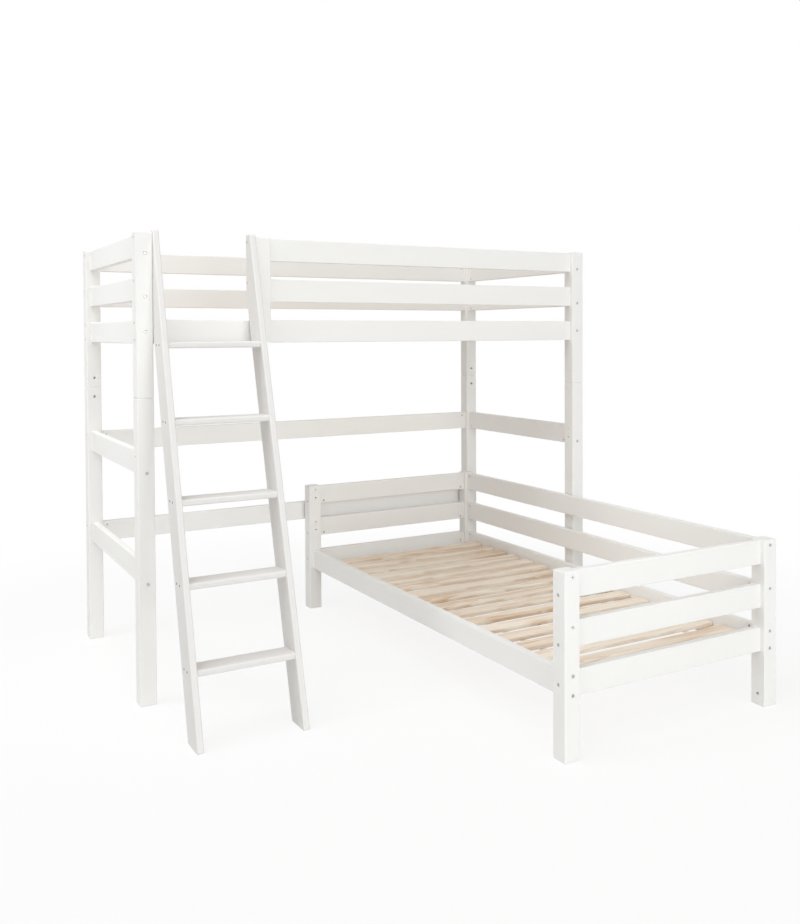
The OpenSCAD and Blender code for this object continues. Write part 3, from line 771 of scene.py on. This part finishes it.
class BUNKBED_OT_webbing(bpy.types.Operator):
    """Model the tapes under the slats and the staples that hold them"""

    bl_idname = "bunkbed.webbing"
    bl_label = "Webbing and staples"

    SAG_RUNS = 6  # straight runs in one sag of a tape
    SMOOTH_BELOW = math.radians(40)  # edges of the tape that bend less look round
    STAPLE_AT = 0.3  # from a slat's edge to its first staple, as a share of its width
    CROWN_BITE = 0.1  # how deep a crown presses into the tape, as a share of its wire
    WIRE_BEVEL = 0.25  # bevel of the wire's edges, as a share of the wire

    def execute(self, context):
        webbing = context.scene.bunkbed_webbing
        finish = context.scene.bunkbed_finish
        cotton = cotton_webbing("cotton_webbing", finish)
        wire = plated_steel("staple_wire", finish.zinc)
        for bed, axis in SLAT_AXES.items():
            low, high, pitch = slat_row(bed, webbing)
            along, across = Vector(), Vector()
            along[axis] = across[1 - axis] = 1.0
            for side, end, sign in (("a", low, 1), ("b", high, -1)):
                start = low.copy()
                start[1 - axis] = end[1 - axis] + sign * webbing.inset
                tape = self.tape(webbing, start, pitch, along, across)
                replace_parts(settle(tape, f"{bed}_tape_{side}", cotton), "slat_straps")
                staples = self.staples(webbing, start, pitch, along, across)
                settle(staples, f"{bed}_staples_{side}", wire)
        return {"FINISHED"}

    def tape(self, webbing, start, pitch, along, across):
        """One tape: flat under each slat, hanging a little in each gap."""
        deselect_all()
        flat = along * webbing.slat_width
        bpy.ops.mesh.primitive_plane_add(size=1.0, location=start + flat / 2)
        piece = bpy.context.object
        piece.scale = flat + across * webbing.width + UP
        bpy.ops.object.transform_apply(location=True, rotation=True, scale=True)

        # The first sag grows out of the plane's far edge.
        edge = (start + flat).dot(along) - NEARLY
        pick(piece, "EDGE", lambda middle: middle.dot(along) > edge)
        run = along * ((pitch - webbing.slat_width) / self.SAG_RUNS)
        drops = [
            -webbing.sag * math.sin(math.pi * number / self.SAG_RUNS) ** 2
            for number in range(self.SAG_RUNS + 1)
        ]
        for before, after in zip(drops, drops[1:]):
            extrude_by(run + UP * (after - before))
        bpy.ops.object.mode_set(mode="OBJECT")

        # A slat and a gap repeat to the last slat, which gets a flat of its own.
        gaps = webbing.slats - 1
        repeat(piece, gaps, along * pitch, use_merge_vertices=True, merge_threshold=NEARLY)
        edge = start.dot(along) + gaps * pitch - NEARLY
        pick(piece, "EDGE", lambda middle: middle.dot(along) > edge)
        extrude_by(flat)
        bpy.ops.object.mode_set(mode="OBJECT")

        # The UV map measures the tape in metres, across it and along it.
        uv = piece.data.uv_layers.new(name="tape")
        for loop in piece.data.loops:
            place = piece.data.vertices[loop.vertex_index].co - start
            uv.data[loop.index].uv = (place.dot(across), place.dot(along))
        apply_modifier(piece, "SOLIDIFY", thickness=webbing.thickness, offset=-1.0)
        bpy.ops.object.mode_set(mode="EDIT")
        turn_faces_out()
        bpy.ops.object.shade_smooth_by_angle(angle=self.SMOOTH_BELOW)
        return piece

    def staples(self, webbing, start, pitch, along, across):
        """The staples of one tape, two under each slat: a crown and two legs."""
        deselect_all()
        wire = webbing.staple_wire
        reach = webbing.staple_width - wire
        first = start + along * (webbing.slat_width * self.STAPLE_AT) - across * (reach / 2)
        first -= UP * (webbing.thickness + wire * (0.5 - self.CROWN_BITE))
        bpy.ops.mesh.primitive_cube_add(size=wire, location=first)
        piece = bpy.context.object
        bpy.ops.object.transform_apply(location=True, rotation=True, scale=True)

        # The crown grows sideways out of the cube, and ends in a cube like the first.
        tip = first.dot(across) + wire / 2 - NEARLY
        pick(piece, "FACE", lambda middle: middle.dot(across) > tip)
        extrude_by(across * (reach - wire))
        extrude_by(across * wire)

        # The legs grow up out of the two end cubes.
        top = first.z + wire / 2 - NEARLY
        centre = first.dot(across) + reach / 2
        inside = reach / 2 - wire
        pick(
            piece,
            "FACE",
            lambda middle: middle.z > top and abs(middle.dot(across) - centre) > inside,
        )
        extrude_by(UP * webbing.staple_leg)
        bpy.ops.mesh.select_all(action="SELECT")
        bpy.ops.mesh.bevel(offset=wire * self.WIRE_BEVEL, segments=1, affect="EDGES")
        turn_faces_out()
        repeat(piece, 2, along * (webbing.slat_width * (1 - 2 * self.STAPLE_AT)))
        repeat(piece, webbing.slats, along * pitch)
        return piece


class BUNKBED_OT_stage(bpy.types.Operator):
    """Set the floor, the lamps and the camera"""

    bl_idname = "bunkbed.stage"
    bl_label = "Floor, lamps and camera"

    FRAME_PX = (800, 924)  # the photograph's width and height
    SENSOR = 36.0  # millimetres on the frame's long side
    REACH = 60.0  # side of the floor, and how far the camera sees
    FADE = (1.3, 3.4)  # distances from the middle between which the floor turns white

    def execute(self, context):
        stage = context.scene.bunkbed_stage
        context.scene.view_settings.view_transform = "Standard"
        self.camera(context, stage)
        self.floor(stage)
        self.room(context, stage)
        middle = (0.0, -0.1, 0.7)
        self.softbox(
            "softbox_front", stage, stage.front_power,
            place=(-0.2, -10.8, 2.9), target=middle, side=5.5,
        )
        self.softbox(
            "softbox_above", stage, stage.top_power,
            place=(-2.8, -0.5, 6.0), target=middle, side=4.0,
        )
        self.softbox(
            "softbox_left", stage, stage.left_power,
            place=(-3.0, 0.6, 3.4), target=(CAD_BOX[0].x, 0.6, 1.0), side=1.2, spread=50.0,
        )
        self.softbox(
            "softbox_bed", stage, stage.bed_power,
            place=(-2.6, -2.6, 3.0), target=(0.8, -0.65, 0.35), side=0.9, spread=30.0,
        )
        return {"FINISHED"}

    def camera(self, context, stage):
        """A camera at the photograph's viewpoint, with its optical centre."""
        width, height = self.FRAME_PX
        data = bpy.data.cameras.new("photo_camera")
        camera = bpy.data.objects.new("photo_camera", data)
        context.scene.collection.objects.link(camera)
        data.sensor_width = self.SENSOR
        data.lens = stage.focal_px * self.SENSOR / height
        data.shift_x = (width / 2 - stage.centre_px[0]) / height
        data.shift_y = (stage.centre_px[1] - height / 2) / height
        data.clip_end = self.REACH
        camera.location = stage.camera_place
        heading = Matrix.Rotation(-stage.camera_turn, 3, "Z")
        tilt = Matrix.Rotation(math.radians(90) + stage.camera_tilt, 3, "X")
        roll = Matrix.Rotation(stage.camera_roll, 3, "Z")
        camera.rotation_euler = (heading @ tilt @ roll).to_euler()
        context.scene.camera = camera

    def floor(self, stage):
        """A wide floor whose far parts melt into the white background."""
        deselect_all()
        bpy.ops.mesh.primitive_plane_add(size=self.REACH)
        floor = bpy.context.object
        floor.name = "floor"
        g = Graph(bpy.data.materials.new("floor"))
        shader = g.node(
            "ShaderNodeBsdfPrincipled",
            None,
            {"Base Color": stage.floor, "Roughness": 0.8, "Specular IOR Level": 0.2},
        )
        white = g.node("ShaderNodeEmission", None, {"Color": WHITE, "Strength": 1.0})
        away = g.vector_math("LENGTH", g.place()).value("Value")
        share = away.step(*self.FADE) * (1.0 - stage.floor_white) + stage.floor_white
        blend = g.node(
            "ShaderNodeMixShader", None, {0: share * g.seen(), 1: shader.out(), 2: white.out()}
        )
        g.node("ShaderNodeOutputMaterial", None, {"Surface": blend.out()})
        floor.data.materials.append(g.owner)

    @staticmethod
    def room(context, stage):
        """Even light from all round; the background itself is white."""
        context.scene.world = bpy.data.worlds.new("room")
        g = Graph(context.scene.world)
        sockets = {"Color": stage.sky_colour, "Strength": stage.sky}
        light = g.node("ShaderNodeBackground", None, sockets)
        white = g.node("ShaderNodeBackground", None, {"Color": WHITE})
        blend = g.node("ShaderNodeMixShader", None, {0: g.seen(), 1: light.out(), 2: white.out()})
        g.node("ShaderNodeOutputWorld", None, {"Surface": blend.out()})

    @staticmethod
    def softbox(name, stage, power, place, target, side, spread=180.0):
        """A square softbox that looks from its place at a target; spread is in degrees."""
        data = bpy.data.lights.new(name, "AREA")
        data.shape = "SQUARE"
        data.size = side
        data.energy = power
        data.color = stage.lamp_colour
        data.spread = math.radians(spread)
        lamp = bpy.data.objects.new(name, data)
        bpy.context.scene.collection.objects.link(lamp)
        lamp.location = place
        lamp.rotation_euler = (Vector(target) - lamp.location).to_track_quat("-Z", "Y").to_euler()


class BUNKBED_PT_panel(bpy.types.Panel):
    """Sizes, colours and steps of the bunk bed"""

    bl_idname = "BUNKBED_PT_panel"
    bl_label = "Bunk Bed"
    bl_space_type = "VIEW_3D"
    bl_region_type = "UI"
    bl_category = "Bunk Bed"

    def draw(self, context):
        layout = self.layout
        for step in STEPS:
            layout.operator(step.bl_idname)
        for group in (
            context.scene.bunkbed_finish,
            context.scene.bunkbed_webbing,
            context.scene.bunkbed_stage,
        ):
            box = layout.box()
            for name in group.bl_rna.properties.keys():
                if name not in ("rna_type", "name"):
                    box.prop(group, name)


GROUPS = (BunkBedFinish, BunkBedWebbing, BunkBedStage)
STEPS = (
    BUNKBED_OT_stage,
    BUNKBED_OT_paint,
    BUNKBED_OT_pine,
    BUNKBED_OT_metal,
    BUNKBED_OT_webbing,
)
CLASSES = (*GROUPS, *STEPS, BUNKBED_PT_panel)


def register():
    """Adds the classes and hangs the settings on the scene."""
    for item in CLASSES:
        bpy.utils.register_class(item)
    bpy.types.Scene.bunkbed_finish = PointerProperty(type=BunkBedFinish)
    bpy.types.Scene.bunkbed_webbing = PointerProperty(type=BunkBedWebbing)
    bpy.types.Scene.bunkbed_stage = PointerProperty(type=BunkBedStage)


def unregister():
    """Takes the settings and the classes away again."""
    del bpy.types.Scene.bunkbed_stage
    del bpy.types.Scene.bunkbed_webbing
    del bpy.types.Scene.bunkbed_finish
    for item in reversed(CLASSES):
        bpy.utils.unregister_class(item)


def main():
    register()
    bpy.ops.bunkbed.stage()
    bpy.ops.bunkbed.paint()
    bpy.ops.bunkbed.pine()
    bpy.ops.bunkbed.metal()
    bpy.ops.bunkbed.webbing()


if __name__ == "__main__":
    main()
